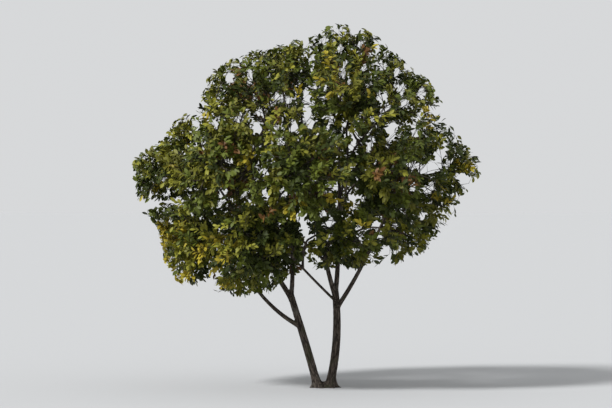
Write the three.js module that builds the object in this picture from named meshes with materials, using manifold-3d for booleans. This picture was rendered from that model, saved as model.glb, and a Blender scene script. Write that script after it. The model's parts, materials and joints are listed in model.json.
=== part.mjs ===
// A small broadleaf tree with a round crown on two stems that part just above the ground.
// Units are millimetres, +Z is up, +X is to the right of the front view and +Y points away from it.
// The origin is in the flat cut under the root flare.
import * as THREE from 'three';
import { mergeVertices } from 'three/addons/utils/BufferGeometryUtils.js';
import Module from 'manifold-3d';

const wasm = await Module();
wasm.setup();

// Driving sizes of the wood
const joinGap = 0.3; // clear space between two pieces of wood that meet
const foot = {
  height: 105, crotch: 84, buried: 8,
  length: 190, width: 135, topLength: 112, topWidth: 58, // half sizes at the ground and at the crotch
  rootCount: 7, rootSwell: 0.22, rootRings: 2,
  flare: 34, flareShare: 0.2, crowding: 1.4, // of the stems, whose rings crowd towards the ground
};
const stemRings = { sides: 9, steps: 7 };
const stems = [
  {
    name: 'left_stem', radius: 60, tipRadius: 45,
    base: [-66, -8, -60], bend: [-262, -60, 640], tip: [-452, -120, 1250],
  },
  {
    name: 'right_stem', radius: 64, tipRadius: 47,
    base: [58, 10, -60], bend: [222, 60, 660], tip: [150, 130, 1295],
  },
];

// The boughs that show below the leaves: which stem each leaves, how high, and the mass of leaves it feeds
const mainBoughs = [
  { feeds: 'low_4', from: 'left_stem', height: 850, bend: [-900, -60, 1130], radius: 33 },
  { feeds: 'middle_5', from: 'left_stem', height: 1205, bend: [-770, 80, 1720], radius: 38 },
  { feeds: 'top_2', from: 'left_stem', height: 1250, bend: [-395, 60, 1750], radius: 34 },
  { feeds: 'middle_1', from: 'right_stem', height: 1085, bend: [560, -60, 1660], radius: 34 },
  { feeds: 'top_3', from: 'right_stem', height: 1225, bend: [-30, -170, 1760], radius: 36 },
  { feeds: 'top_1', from: 'right_stem', height: 1295, bend: [225, 60, 1800], radius: 37 },
  { feeds: 'low_5', from: 'right_stem', height: 1180, bend: [-200, -170, 1520], radius: 20 },
];
const mainBoughRings = { sides: 6, steps: 7 };
const sideBough = {
  share: 0.7, most: 28, least: 19, // its radius as a share of its parent's there, within limits
  tipRadius: 16, sides: 5, steps: 4,
  from: 0.3, to: 0.86, every: 0.04, // the stretch of a limb that side boughs may leave, and its steps
  lowest: 1000, // they leave the two stems no lower
  apart: 130, clear: 14, leastFar: 0.9,
  leastAlong: 0.15, mostAlong: 0.96, // cosines of the angles from its parent that it may leave at
  bendAlong: 0.22, bendAside: 0.28, // its bend's place along its parent and towards the lobe
  leastWayOn: 0.5, // cosine of the most that it may turn from end to end
  turnCost: 0.7, riseGain: 0.2, // what a sharp turn costs, and what a low start gains, as shares of length
};

// Driving sizes of the crown. The front reach is its outline seen from the front, every 30 degrees from +X
// over +Z.
const crown = {
  middle: [-260, 0, 3000],
  frontReach: [2330, 2280, 2130, 1870, 1890, 1980, 2330, 2480, 2160, 1560, 1900, 2290],
  depthReach: 2250,
  lobeShare: 0.43, // a lobe's radius as a share of the crown's reach there
  apart: 12, // clear space from a mass of leaves to the face that parts it from the next
  entry: 0.82, // how far out in a lobe its bough ends, as a share of its radius
  bearingStray: 7, riseStray: 4, leastReach: 0.95, mostReach: 1.02, // the lobes' unevenness
};
const rings = [
  { name: 'top', rise: 68, first: 20, count: 3, tint: 0x6d7128 },
  { name: 'high', rise: 34, first: 0, count: 6, tint: 0x5f6b22 },
  { name: 'middle', rise: 0, first: 0, count: 8, tint: 0x4f5c22 },
  { name: 'low', rise: -32, first: 0, count: 6, tint: 0x8a7a26 },
  { name: 'under', rise: -57, first: 10, count: 2, tint: 0x74572a },
];

// Gaps where the sky shows through the crown from the front: place across, height and radius
const skyGaps = [
  [1430, 3010, 110], [910, 3510, 90], [-910, 3540, 80], [-1400, 2680, 80], [494, 2160, 80],
];

// The crown's lower edge from the front: places across and heights
const hem = [
  [-2750, 2650], [-2300, 2230], [-2150, 1600], [-2000, 1400], [-1450, 1290], [-850, 1210], [-500, 1500],
  [-200, 1600], [800, 1620], [1300, 1800], [1600, 2000], [1850, 2400], [2250, 2850],
];

// Driving sizes of the twigs and leaves. A leaf stands for a spray of real ones.
const massStem = { tipRadius: 12, sides: 4, steps: 3, tries: 30, turn: 4, shortest: 0.8, bend: 0.4 };
const twig = {
  first: 0.1, last: 0.92, // the stretch of the stem that twigs leave
  count: 8, tries: 5, radius: 11, shortest: 90, longest: 700,
  lowestSpread: 88, highestSpread: 40, lift: 0.1, clear: 12, stride: 30,
  spreadStray: 8, turnStray: 14, // their unevenness in degrees
};
const leaf = {
  length: 520, width: 360, thickness: 13, widest: 0.44, sunk: 1,
  largest: 1.08, smallest: 0.7, tries: 21,
  onStem: [0.97, 0.85, 0.73, 0.61, 0.49], onTwig: [0.9, 0.66, 0.42], // places as shares of the way along
  spread: 58, leastTilt: 20, mostTilt: 85,
  room: 0.55, // share of its length that a twig leaves free for the leaf at its end
  mostEdgeOn: 0.93, // cosine of the least angle between the way it faces and the way it grows
  beyondBall: 80, clear: 8,
};
const sprigs = { top_1: 60, middle_1: 20 }; // how far a lobe's outermost shoot stands out of the crown

const crownSeed = 11;
const massSeed = 100;
const degrees = Math.PI / 180;
const goldenTurn = 180 * (3 - Math.sqrt(5));
const up = new THREE.Vector3(0, 0, 1);
const across = new THREE.Vector3(1, 0, 0);
const nearlyUp = 0.95;
const testPoints = 12; // along a curve
const pointOf = (sizes) => new THREE.Vector3(...sizes);
const mix = THREE.MathUtils.lerp;

// A way across any direction
function sideOf(direction) {
  const other = Math.abs(direction.z) < nearlyUp ? up : across;
  return new THREE.Vector3().crossVectors(direction, other).normalize();
}

// An axis turned aside by a spread, towards a turn about it
function turnedFrom(axis, spread, turn) {
  const side = sideOf(axis).applyAxisAngle(axis, turn * degrees);
  return axis.clone().applyAxisAngle(side, spread * degrees);
}

// A stream of numbers from 0 to 1 that is the same on every run
function seededNumbers(seed) {
  let state = seed >>> 0;
  return () => {
    state = (Math.imul(state, 1664525) + 1013904223) >>> 0;
    return state / 4294967296;
  };
}

// Solids and meshes
function solidFrom(geometry) {
  const bare = geometry.clone();
  bare.deleteAttribute('normal');
  bare.deleteAttribute('uv');
  const merged = mergeVertices(bare, 1e-4);
  return new wasm.Manifold(new wasm.Mesh({
    numProp: 3,
    vertProperties: new Float32Array(merged.attributes.position.array),
    triVerts: new Uint32Array(merged.index.array),
  }));
}

function geometryFrom(solid) {
  const mesh = solid.getMesh();
  const geometry = new THREE.BufferGeometry();
  geometry.setAttribute('position', new THREE.BufferAttribute(mesh.vertProperties, 3));
  geometry.setIndex(new THREE.BufferAttribute(mesh.triVerts, 1));
  geometry.computeVertexNormals();
  return geometry;
}

// The largest connected piece, which leaves out scraps and fills sealed hollows
function largestPiece(solid) {
  const pieces = solid.decompose();
  return pieces.reduce((best, piece) => (piece.volume() > best.volume() ? piece : best));
}

// A limb is a tapering rod along a curve, in straight steps from ring to ring
function limbOf(name, curve, radius, tipRadius, sides, steps, flare = 0, crowding = 1) {
  const side = sideOf(curve.getPoint(1).sub(curve.getPoint(0)).normalize());
  const line = [];
  for (let i = 0; i <= steps; i += 1) line.push(curve.getPoint((i / steps) ** crowding));
  return { name, curve, radius, tipRadius, sides, steps, flare, crowding, side, line, leaving: [] };
}

// The point of a limb's axis at a share of its curve
function axisPoint(limb, share) {
  const place = share ** (1 / limb.crowding) * limb.steps;
  const before = Math.min(Math.floor(place), limb.steps - 1);
  return limb.line[before].clone().lerp(limb.line[before + 1], place - before);
}

// The way on and two ways across at any place along a limb
function limbFrame(limb, share) {
  const along = limb.curve.getTangent(share);
  const u = new THREE.Vector3().crossVectors(along, limb.side).normalize();
  const v = new THREE.Vector3().crossVectors(u, along);
  return { along, u, v };
}

// A limb tapers evenly, and one that stands in the ground widens towards it as well
function radiusAt(limb, share) {
  const flare = limb.flare * Math.max(0, 1 - share / foot.flareShare) ** 2;
  return mix(limb.radius, limb.tipRadius, share) + flare;
}

// Growing a limb widens it all round and at both ends
function limbGeometry(limb, grow = 0) {
  const geometry = new THREE.CylinderGeometry(limb.tipRadius ? 1 : 0, 1, 1, limb.sides, limb.steps);
  const place = geometry.attributes.position;
  for (let i = 0; i < place.count; i += 1) {
    const share = (place.getY(i) + 0.5) ** limb.crowding;
    const { along, u, v } = limbFrame(limb, share);
    const radius = radiusAt(limb, share) + grow;
    const spot = limb.curve.getPoint(share);
    if (share === 0 || share === 1) spot.addScaledVector(along, share ? grow : -grow);
    spot.addScaledVector(u, place.getX(i) * radius).addScaledVector(v, place.getZ(i) * radius);
    place.setXYZ(i, spot.x, spot.y, spot.z);
  }
  return geometry;
}

// The lobes of the crown: each is the ball of space that one mass of leaves may fill
function crownReach(direction) {
  const count = crown.frontReach.length;
  const turn = Math.atan2(direction.z, direction.x) / (2 * Math.PI);
  const step = (turn * count + count) % count;
  const before = Math.floor(step) % count;
  const share = THREE.MathUtils.smoothstep(step - Math.floor(step), 0, 1);
  const front = mix(crown.frontReach[before], crown.frontReach[(before + 1) % count], share);
  const deep = direction.y ** 2;
  return 1 / Math.sqrt((1 - deep) / front ** 2 + deep / crown.depthReach ** 2);
}

function lobeOf(name, bearing, rise, reachShare) {
  const direction = new THREE.Vector3(
    Math.cos(rise * degrees) * Math.cos(bearing * degrees),
    Math.cos(rise * degrees) * Math.sin(bearing * degrees),
    Math.sin(rise * degrees),
  );
  const reach = crownReach(direction) * reachShare;
  const size = reach * crown.lobeShare;
  const middle = pointOf(crown.middle).addScaledVector(direction, reach - size);
  return { name, direction, size, middle, outer: middle.clone().addScaledVector(direction, size) };
}

function makeLobes() {
  const lobes = [];
  const next = seededNumbers(crownSeed);
  for (const ring of rings) {
    for (let i = 0; i < ring.count; i += 1) {
      const bearing = ring.first + (360 * i) / ring.count + mix(-1, 1, next()) * crown.bearingStray;
      const rise = ring.rise + mix(-1, 1, next()) * crown.riseStray;
      const reachShare = mix(crown.leastReach, crown.mostReach, next());
      const lobe = lobeOf(`${ring.name}_${i + 1}`, bearing, rise, reachShare);
      lobe.tint = ring.tint;
      lobes.push(lobe);
    }
  }
  return lobes;
}

// How far a point is inside a lobe's own space: its ball, which may be eased, short of the planes that part
// it from the others
function roomAt(point, lobe, lobes, easing = 0) {
  let room = lobe.size + easing - point.distanceTo(lobe.middle);
  const power = point.distanceToSquared(lobe.middle) - lobe.size ** 2;
  for (const other of lobes) {
    if (other === lobe) continue;
    const otherPower = point.distanceToSquared(other.middle) - other.size ** 2;
    const plane = (otherPower - power) / (2 * other.middle.distanceTo(lobe.middle));
    room = Math.min(room, plane - crown.apart);
  }
  return room;
}

function inSkyGap(point, extra) {
  return skyGaps.some(([x, z, radius]) => Math.hypot(point.x - x, point.z - z) < radius + extra);
}

function belowHem(point) {
  const after = hem.findIndex(([x]) => x > point.x);
  const [[fromX, fromZ], [toX, toZ]] = hem.slice(after - 1, after + 1);
  return point.z < mix(fromZ, toZ, (point.x - fromX) / (toX - fromX));
}

// How far a straight line may run from a point before it leaves the lobe's space
function runInLobe(start, direction, lobe, lobes, most) {
  const point = start.clone();
  let run = 0;
  while (run < most && roomAt(point, lobe, lobes) > 0) {
    point.addScaledVector(direction, twig.stride);
    run += twig.stride;
  }
  return Math.max(0, run - twig.stride);
}

// The clear distance from a point to the nearest of some limbs
const nearest = new THREE.Vector3();
const piece = new THREE.Line3();
function limbClearance(point, limbs) {
  let clear = Infinity;
  for (const limb of limbs) {
    for (let i = 0; i < limb.steps; i += 1) {
      piece.set(limb.line[i], limb.line[i + 1]);
      piece.closestPointToPoint(point, true, nearest);
      const radius = radiusAt(limb, (i / limb.steps) ** limb.crowding);
      clear = Math.min(clear, nearest.distanceTo(point) - radius);
    }
  }
  return clear;
}

// Whether a rod along a curve, tested at close points from one of them on, keeps a distance from some limbs
function clearOf(curve, distance, limbs, first = 0) {
  const points = curve.getPoints(Math.ceil(curve.getLength() / twig.stride)).slice(first);
  return points.every((point) => limbClearance(point, limbs) > distance);
}

// A bough leaves its parent's axis, bends, and ends where it enters its lobe's space
function boughCurve(start, bend, lobe, lobes) {
  const back = bend.clone().sub(lobe.middle).normalize();
  const run = runInLobe(lobe.middle, back, lobe, lobes, lobe.size);
  const depth = Math.min(lobe.size * crown.entry, run - 2 * crown.apart);
  const entry = lobe.middle.clone().addScaledVector(back, depth);
  return new THREE.QuadraticBezierCurve3(start, bend, entry);
}

function shareAtHeight(limb, height) {
  let share = 1;
  while (share > 0 && limb.curve.getPoint(share).z > height) share -= 0.01;
  return share;
}

function makeMainBough(plan, limbs, lobes) {
  const parent = limbs.find((limb) => limb.name === plan.from);
  const share = shareAtHeight(parent, plan.height);
  const start = axisPoint(parent, share);
  const lobe = lobes.find((one) => one.name === plan.feeds);
  const curve = boughCurve(start, pointOf(plan.bend), lobe, lobes);
  const { sides, steps } = mainBoughRings;
  lobe.bough = limbOf(`bough_${lobe.name}`, curve, plan.radius, sideBough.tipRadius, sides, steps);
  parent.leaving.push(share);
  limbs.push(lobe.bough);
}

// The stem of a mass goes on from its bough's tip to the outer end of its lobe. It turns aside, more on each
// attempt, until it is long enough, inside the lobe's own space and clear of other limbs.
function makeStem(lobe, lobes, boughWay, others) {
  const along = boughWay.getTangent(1);
  const start = boughWay.getPoint(1).addScaledVector(along, joinGap);
  const reach = lobe.size - leaf.length * leaf.room + (sprigs[lobe.name] || 0);
  for (let attempt = 0; attempt < massStem.tries; attempt += 1) {
    const outward = turnedFrom(lobe.direction, massStem.turn * attempt, attempt * goldenTurn);
    const end = lobe.middle.clone().addScaledVector(outward, reach);
    const far = start.distanceTo(end);
    const bend = start.clone().addScaledVector(along, far * massStem.bend);
    const curve = new THREE.QuadraticBezierCurve3(start, bend, end);
    const inside = curve.getPoints(testPoints).slice(2).every((point) => (
      roomAt(point, lobe, lobes, sprigs[lobe.name]) > sideBough.tipRadius
    ));
    const longEnough = far > lobe.size * massStem.shortest;
    if (longEnough && inside && clearOf(curve, sideBough.tipRadius + twig.clear, others)) {
      return limbOf('stem', curve, sideBough.tipRadius, massStem.tipRadius, massStem.sides, massStem.steps);
    }
  }
  return null;
}

// A side bough leaves the limb from which it has the shortest, straightest clear way to its lobe
function makeSideBough(lobe, limbs, lobes) {
  const taken = [...limbs, ...lobes.filter((one) => one.stem).map((one) => one.stem)];
  let best = { cost: Infinity };
  for (const parent of limbs) {
    const length = parent.curve.getLength();
    const isStem = stems.some((stem) => stem.name === parent.name);
    const others = taken.filter((limb) => limb !== parent);
    for (let share = sideBough.from; share < sideBough.to; share += sideBough.every) {
      const start = axisPoint(parent, share);
      const along = parent.curve.getTangent(share);
      const toLobe = lobe.middle.clone().sub(start);
      const far = toLobe.length();
      const straight = along.dot(toLobe) / far;
      const crowded = parent.leaving.some((other) => Math.abs(other - share) * length < sideBough.apart);
      const tooLow = isStem && start.z < sideBough.lowest;
      const badAngle = straight < sideBough.leastAlong || straight > sideBough.mostAlong;
      if (badAngle || crowded || tooLow || far < lobe.size * sideBough.leastFar) continue;
      const cost = far * (1 + sideBough.turnCost * (1 - straight)) - toLobe.z * sideBough.riseGain;
      if (cost >= best.cost) continue;
      const bend = start.clone().addScaledVector(along, far * sideBough.bendAlong);
      bend.addScaledVector(toLobe, sideBough.bendAside);
      const curve = boughCurve(start, bend, lobe, lobes);
      if (curve.getTangent(0).dot(curve.getTangent(1)) < sideBough.leastWayOn) continue;
      const thickness = radiusAt(parent, share) * sideBough.share;
      const radius = THREE.MathUtils.clamp(thickness, sideBough.least, sideBough.most);
      if (!clearOf(curve, radius + sideBough.clear, others)) continue;
      const stem = makeStem(lobe, lobes, curve, taken);
      if (stem) best = { cost, parent, share, curve, radius, stem };
    }
  }
  if (!best.parent) throw new Error(`no clear way for a bough to ${lobe.name}`);
  best.parent.leaving.push(best.share);
  const name = `bough_${lobe.name}`;
  lobe.bough = limbOf(name, best.curve, best.radius, sideBough.tipRadius, sideBough.sides, sideBough.steps);
  lobe.stem = best.stem;
  limbs.push(lobe.bough);
}

function makeLimbs(lobes) {
  const limbs = stems.map((stem) => {
    const curve = new THREE.QuadraticBezierCurve3(...[stem.base, stem.bend, stem.tip].map(pointOf));
    const { sides, steps } = stemRings;
    return limbOf(stem.name, curve, stem.radius, stem.tipRadius, sides, steps, foot.flare, foot.crowding);
  });
  for (const plan of mainBoughs) makeMainBough(plan, limbs, lobes);
  for (const lobe of lobes.filter((one) => one.bough)) {
    const others = limbs.filter((limb) => limb !== lobe.bough);
    lobe.stem = makeStem(lobe, lobes, lobe.bough.curve, others);
    if (!lobe.stem) throw new Error(`no clear way for the stem of ${lobe.name}`);
  }
  const lowestFirst = lobes.filter((lobe) => !lobe.bough).sort((a, b) => a.middle.z - b.middle.z);
  for (const lobe of lowestFirst) makeSideBough(lobe, limbs, lobes);
  return limbs;
}

// The foot of the tree joins both flared stems in a mound that swells into roots towards the ground
function footSolid(stemSolids) {
  const mound = new THREE.CylinderGeometry(1, 1, 1, foot.rootCount * 3, foot.rootRings);
  const place = mound.attributes.position;
  for (let i = 0; i < place.count; i += 1) {
    const share = place.getY(i) + 0.5;
    const spread = (1 - share) ** 2;
    const turn = Math.atan2(place.getZ(i), place.getX(i));
    const swell = 1 + foot.rootSwell * spread * Math.cos(foot.rootCount * turn);
    const x = place.getX(i) * mix(foot.topLength, foot.length, spread) * swell;
    const y = place.getZ(i) * mix(foot.topWidth, foot.width, spread) * swell;
    place.setXYZ(i, x, -y, mix(-foot.buried, foot.crotch, share));
  }
  const whole = wasm.Manifold.union([...stemSolids, solidFrom(mound)]);
  const aboveGround = whole.trimByPlane([0, 0, 1], 0);
  return largestPiece(aboveGround.trimByPlane([0, 0, -1], -foot.height));
}

// Each limb is cut clear of the limbs made before it, and both stems are cut off above the foot
function makeWood(limbs) {
  const whole = new Map(limbs.map((limb) => [limb.name, solidFrom(limbGeometry(limb))]));
  const grown = new Map(limbs.map((limb) => [limb.name, solidFrom(limbGeometry(limb, joinGap))]));
  const wood = new Map();
  wood.set('root_flare', footSolid(stems.map((stem) => whole.get(stem.name))));
  limbs.forEach((limb, order) => {
    let solid = whole.get(limb.name);
    if (order < stems.length) solid = solid.trimByPlane([0, 0, 1], foot.height + joinGap);
    for (const earlier of limbs.slice(0, order)) solid = solid.subtract(grown.get(earlier.name));
    wood.set(limb.name, largestPiece(solid));
  });
  return wood;
}

// Each twig tries some turns about the stem for a way inside the mass's own space, clear of limbs and
// sky gaps
function makeTwigs(lobe, lobes, limbs, next) {
  const twigs = [];
  for (let i = 0; i < twig.count; i += 1) {
    const share = mix(twig.first, twig.last, (i + 0.5) / twig.count);
    const start = axisPoint(lobe.stem, share);
    const along = lobe.stem.curve.getTangent(share);
    const stray = mix(-1, 1, next()) * twig.spreadStray;
    const spread = mix(twig.lowestSpread, twig.highestSpread, share) + stray;
    const turn = i * goldenTurn + mix(-1, 1, next()) * twig.turnStray;
    for (let attempt = 0; attempt < twig.tries; attempt += 1) {
      const direction = turnedFrom(along, spread, turn + (attempt * 720) / twig.tries);
      const run = runInLobe(start, direction, lobe, lobes, twig.longest + leaf.length);
      const length = Math.min(run - leaf.length * leaf.room, twig.longest);
      if (length < twig.shortest) continue;
      const end = start.clone().addScaledVector(direction, length).addScaledVector(up, length * twig.lift);
      const curve = new THREE.LineCurve3(start, end);
      const beside = twigs.some((other) => other.curve.v2.distanceTo(end) < leaf.width);
      const inside = curve.getPoints(testPoints).slice(1).every((point) => (
        roomAt(point, lobe, lobes) > twig.radius && !inSkyGap(point, twig.radius) && !belowHem(point)
      ));
      if (beside || !inside || !clearOf(curve, twig.radius + twig.clear, limbs, 1)) continue;
      twigs.push(limbOf('twig', curve, twig.radius, 0, 3, 1));
      break;
    }
  }
  return twigs;
}

// A leaf is a flat eight-sided blade with a point at each end, widest nearer its root
const leafBlade = (() => {
  const blade = new THREE.OctahedronGeometry(1);
  const place = blade.attributes.position;
  for (let i = 0; i < place.count; i += 1) {
    const x = place.getX(i);
    const along = x > 0.5 ? 1 : x < -0.5 ? 0 : leaf.widest;
    const y = (place.getY(i) * leaf.width) / 2;
    const z = (place.getZ(i) * leaf.thickness) / 2;
    place.setXYZ(i, along * leaf.length - leaf.sunk, y, z);
  }
  return blade;
})();

function leafAt(root, direction, facing, size) {
  const sideways = new THREE.Vector3().crossVectors(facing, direction).normalize();
  const normal = new THREE.Vector3().crossVectors(direction, sideways);
  const place = new THREE.Matrix4().makeBasis(direction, sideways, normal);
  place.scale(new THREE.Vector3(size, size, 1)).setPosition(root);
  return leafBlade.clone().applyMatrix4(place);
}

// A leaf's corners must be in its mass's own space, out of the sky gaps and above the hem
function leafInPlace(blade, lobe, lobes) {
  const place = blade.attributes.position;
  const easing = leaf.beyondBall + (sprigs[lobe.name] || 0);
  const corner = new THREE.Vector3();
  for (let i = 0; i < place.count; i += 1) {
    if (roomAt(corner.fromBufferAttribute(place, i), lobe, lobes, easing) < 0) return false;
    if (inSkyGap(corner, 0) || belowHem(corner)) return false;
  }
  return true;
}

// Each place tries the sides of its twig and smaller sizes for a leaf, and stays bare if none is clear. The
// first leaf goes on from the tip.
function addLeaves(leaves, stalk, shares, lobe, lobes, woodSolid, next) {
  shares.forEach((share, order) => {
    const { along, u, v } = limbFrame(stalk, share);
    const root = axisPoint(stalk, share);
    const outward = root.clone().sub(pointOf(crown.middle)).normalize();
    const tilt = mix(leaf.leastTilt, leaf.mostTilt, next());
    const roll = 360 * next();
    for (let attempt = 0; attempt < leaf.tries; attempt += 1) {
      const size = mix(leaf.largest, leaf.smallest, attempt / (leaf.tries - 1));
      const turn = ((0.5 + order + attempt) * 2 * Math.PI) / stalk.sides;
      const aside = u.clone().multiplyScalar(Math.sin(turn)).addScaledVector(v, Math.cos(turn));
      const spread = (order ? leaf.spread : 0) * degrees;
      const direction = along.clone().multiplyScalar(Math.cos(spread));
      direction.addScaledVector(aside, Math.sin(spread));
      const facing = turnedFrom(outward, tilt, roll + attempt * goldenTurn);
      if (Math.abs(facing.dot(direction)) > leaf.mostEdgeOn) continue;
      const blade = leafAt(root, direction, facing, size);
      if (!leafInPlace(blade, lobe, lobes)) continue;
      const solid = solidFrom(blade);
      if ([woodSolid, ...leaves].some((other) => other.minGap(solid, leaf.clear) < leaf.clear)) continue;
      leaves.push(solid);
      return;
    }
  });
}

function makeMass(lobe, lobes, limbs, woodSolid, seed) {
  const next = seededNumbers(seed);
  const twigs = makeTwigs(lobe, lobes, limbs, next);
  const leaves = [];
  addLeaves(leaves, lobe.stem, leaf.onStem, lobe, lobes, woodSolid, next);
  for (const one of twigs) addLeaves(leaves, one, leaf.onTwig, lobe, lobes, woodSolid, next);
  const stalks = [lobe.stem, ...twigs].map((one) => solidFrom(limbGeometry(one)));
  return largestPiece(wasm.Manifold.union([...stalks, ...leaves]));
}

// Materials
function barkMaterial() {
  return new THREE.MeshStandardMaterial({ color: 0x3b302a, roughness: 0.95, metalness: 0 });
}

function leafMaterial(tint) {
  return new THREE.MeshStandardMaterial({ color: tint, roughness: 0.6, metalness: 0, flatShading: true });
}

function meshOf(name, solid, material) {
  const mesh = new THREE.Mesh(geometryFrom(solid), material);
  mesh.name = name;
  return mesh;
}

function makeTree() {
  const lobes = makeLobes();
  const limbs = makeLimbs(lobes);
  const wood = makeWood(limbs);
  const woodSolid = wasm.Manifold.union([...wood.values()]);
  const woodGroup = new THREE.Group();
  for (const [name, solid] of wood) woodGroup.add(meshOf(name, solid, barkMaterial()));
  const leafGroup = new THREE.Group();
  lobes.forEach((lobe, order) => {
    const mass = makeMass(lobe, lobes, limbs, woodSolid, massSeed + order);
    leafGroup.add(meshOf(`leaves_${lobe.name}`, mass, leafMaterial(lobe.tint)));
  });
  const whole = new THREE.Group();
  whole.add(woodGroup, leafGroup);
  return whole;
}

const tree = makeTree();
export default tree;
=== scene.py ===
import json
import math
import time
from types import SimpleNamespace

import bmesh
import bpy
import numpy as np
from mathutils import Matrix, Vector, kdtree, noise
from numpy.linalg import norm


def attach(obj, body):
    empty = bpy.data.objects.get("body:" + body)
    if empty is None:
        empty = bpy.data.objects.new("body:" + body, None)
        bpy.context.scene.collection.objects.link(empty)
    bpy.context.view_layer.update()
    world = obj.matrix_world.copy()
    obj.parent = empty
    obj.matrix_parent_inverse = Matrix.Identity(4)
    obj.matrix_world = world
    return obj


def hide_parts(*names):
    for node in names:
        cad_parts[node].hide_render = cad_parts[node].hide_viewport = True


# A small broadleaf tree with a round crown on two stems that part just above the ground, in early autumn.
# Metres, +Z up, +X to the right of the front view and +Y away from it. The limbs and the spaces of the leaf
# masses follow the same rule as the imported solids, and finer twigs and leaves grow on from them.

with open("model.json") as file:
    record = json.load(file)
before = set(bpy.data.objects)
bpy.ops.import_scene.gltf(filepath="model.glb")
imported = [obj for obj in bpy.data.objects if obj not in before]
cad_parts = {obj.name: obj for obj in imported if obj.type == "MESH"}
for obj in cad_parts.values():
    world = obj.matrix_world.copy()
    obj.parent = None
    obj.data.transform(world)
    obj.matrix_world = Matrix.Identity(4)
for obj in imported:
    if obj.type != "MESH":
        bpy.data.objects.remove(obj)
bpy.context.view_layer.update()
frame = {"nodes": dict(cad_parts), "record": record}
scene = bpy.context.scene
slotOf = {part["node"]: part["material_slot"] for part in frame["record"]["subparts"]}
started = time.time()


def report(stage):
    print(f"{time.time() - started:6.1f} s  {stage}")


# Small helpers

fullTurn = 2 * math.pi
goldenTurn = math.pi * (3 - math.sqrt(5))
curvePoints = 201  # for the length of a curve
testShares = np.linspace(0, 1, 13)  # where a stem or twig is tested, from its start to its end


# The same numbers from 0 to 1 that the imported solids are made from
def seededNumbers(seed, factor=1664525, step=1013904223, span=2 ** 32):
    state = seed

    def following():
        nonlocal state
        state = (state * factor + step) % span
        return state / span

    return following


def mix(low, high, share):
    return low + (high - low) * share


def strayed(following, most):
    return mix(-1, 1, following()) * most


def sizesOf(ways):
    return norm(ways, axis=-1)


def unit(ways, least=1e-9):
    ways = np.asarray(ways, float)
    return ways / np.maximum(sizesOf(ways)[..., None], least)


def dot(a, b):
    return (a * b).sum(-1, keepdims=True)


# Ways square to others, and level unless those are nearly upright
def sideOf(ways, upright=0.95):
    other = np.where(np.abs(ways[..., 2:3]) < upright, (0.0, 0.0, 1.0), (1.0, 0.0, 0.0))
    return unit(np.cross(ways, other))


# Ways turned aside by a spread, towards a turn about themselves, both in radians
def turned(ways, spread, turn):
    spread, turn = np.asarray(spread)[..., None], np.asarray(turn)[..., None]
    side = sideOf(ways)
    side = side * np.cos(turn) + np.cross(ways, side) * np.sin(turn)
    return ways * np.cos(spread) + np.cross(side, ways) * np.sin(spread)


def bend(start, middle, end):
    return tuple(np.asarray(point, float) for point in (start, middle, end))


def pointOn(curve, share):
    a, b, c = curve
    share = np.asarray(share, float)[..., None]
    return (1 - share) ** 2 * a + 2 * (1 - share) * share * b + share ** 2 * c


def wayOn(curve, share):
    a, b, c = curve
    share = np.asarray(share, float)[..., None]
    return unit((1 - share) * (b - a) + share * (c - b))


def lengthOf(curve):
    return sizesOf(np.diff(pointOn(curve, np.linspace(0, 1, curvePoints)), axis=0)).sum()


# Points at some places on a line. The places of the line's own points are its marks, or else their order
def pointsAt(places, line, marks=None):
    marks = np.arange(len(line)) if marks is None else marks
    return np.stack([np.interp(places, marks, line[:, i]) for i in range(3)], axis=-1)


# The crown's lobes: each is the ball of space that one mass of leaves may fill

crown = {
    "middle": (-0.26, 0.0, 3.0),
    # how far it reaches from there in the front view, every 30 degrees from +X over +Z
    "frontReach": (2.33, 2.28, 2.13, 1.87, 1.89, 1.98, 2.33, 2.48, 2.16, 1.56, 1.9, 2.29),
    "depthReach": 2.25,
    # the same more closely, for the finest twigs and the leaves, every 15 degrees
    "outline": (2.45, 2.12, 2.13, 2.0, 2.05, 2.08, 1.8, 1.73, 1.8, 1.85, 1.74, 1.97,
                2.4, 2.36, 2.35, 2.38, 2.04, 1.85, 1.5, 1.5, 1.66, 1.92, 2.1, 2.19),
    "lobeShare": 0.43,  # a lobe's radius as a share of the crown's reach there
    "apart": 0.012,  # from a mass to the face that parts it from the next
    "entry": 0.82,  # how far out in a lobe its bough ends
    "bearingStray": 7, "riseStray": 4, "reachShares": (0.95, 1.02),
    "seed": 11, "massSeed": 100, "stride": 0.03,
    # rings of lobes: name, rise and first bearing in degrees, count
    "rings": (("top", 68, 20, 3), ("high", 34, 0, 6), ("middle", 0, 0, 8), ("low", -32, 0, 6),
              ("under", -57, 10, 2)),
    "sprigs": {"top_1": 0.06, "middle_1": 0.02},  # how far a lobe's outermost shoot stands out
}
crownMiddle = np.array(crown["middle"])

# Gaps where the sky shows through from the front: place across, height and radius
skyGaps = np.array([
    (1.43, 3.01, 0.11), (0.91, 3.51, 0.09), (-0.91, 3.54, 0.08), (-1.4, 2.68, 0.08), (0.494, 2.16, 0.08),
    (-0.624, 3.95, 0.09), (-0.416, 3.53, 0.07), (-0.234, 3.72, 0.07), (-1.3, 3.07, 0.07), (1.4, 2.7, 0.08),
    (0.78, 3.95, 0.08), (0.44, 3.43, 0.07), (0.08, 2.73, 0.06), (0.86, 1.85, 0.07), (0.08, 2.24, 0.07),
    (1.55, 3.17, 0.08), (1.9, 2.84, 0.1), (1.86, 2.6, 0.07), (1.22, 3.03, 0.07), (0.25, 4.27, 0.07),
    (0.66, 3.66, 0.06), (1.04, 4.07, 0.07), (-0.14, 4.1, 0.06), (0.22, 3.98, 0.06),
])
sharedGaps = skyGaps[:5]  # the solids have these too, as circles
gapWaves = ((2, 0.24, 1.7), (3, 0.2, 4.1), (5, 0.12, 2.3))  # they depart from circles: count, share and turn

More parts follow.
